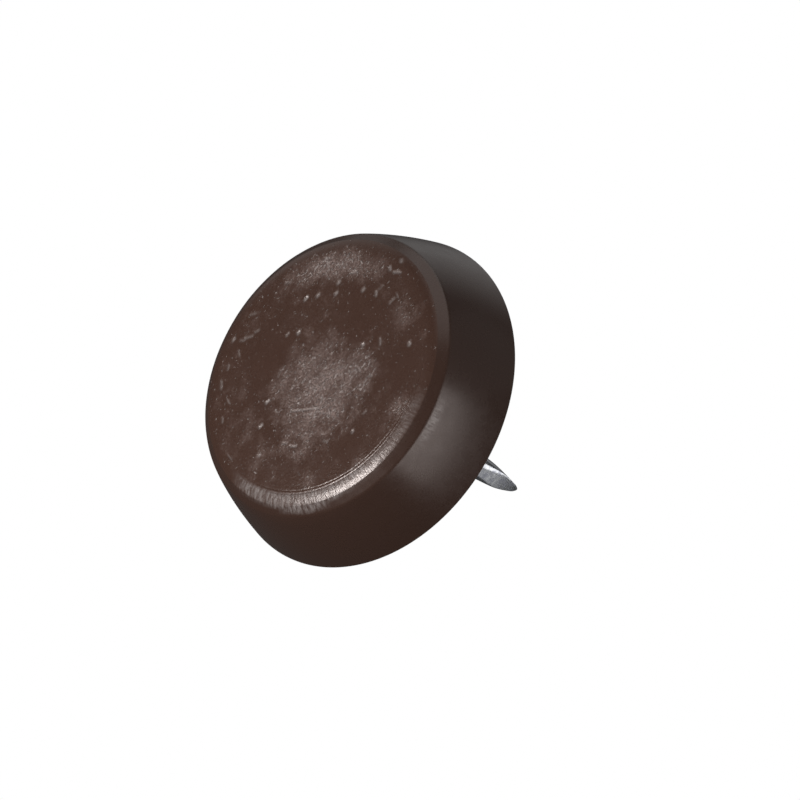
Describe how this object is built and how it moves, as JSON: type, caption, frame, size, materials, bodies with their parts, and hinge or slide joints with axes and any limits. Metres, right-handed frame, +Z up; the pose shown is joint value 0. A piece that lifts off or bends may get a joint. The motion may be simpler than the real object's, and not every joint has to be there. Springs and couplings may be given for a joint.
{
  "type": "nail-on furniture glide",
  "caption": "Round tapered plastic glide with a moulded-in steel nail, hammered into the end of a furniture leg so that the leg slides on its dished face.",
  "frame": {"origin": "centre of the glide face, on the floor", "axes": "+Z up along the nail, from the floor to the furniture leg; two facets of the nail's point face +X and -X"},
  "size_m": [0.024, 0.024, 0.024],
  "materials": {
    "brown_plastic": "moulded, finely grained, semi-matt, scuffed",
    "zinc_plated_steel": "bright zinc plate"
  },
  "bodies": {
    "root": {"glide_pad": "brown_plastic", "nail": "zinc_plated_steel"}
  },
  "joints": []
}
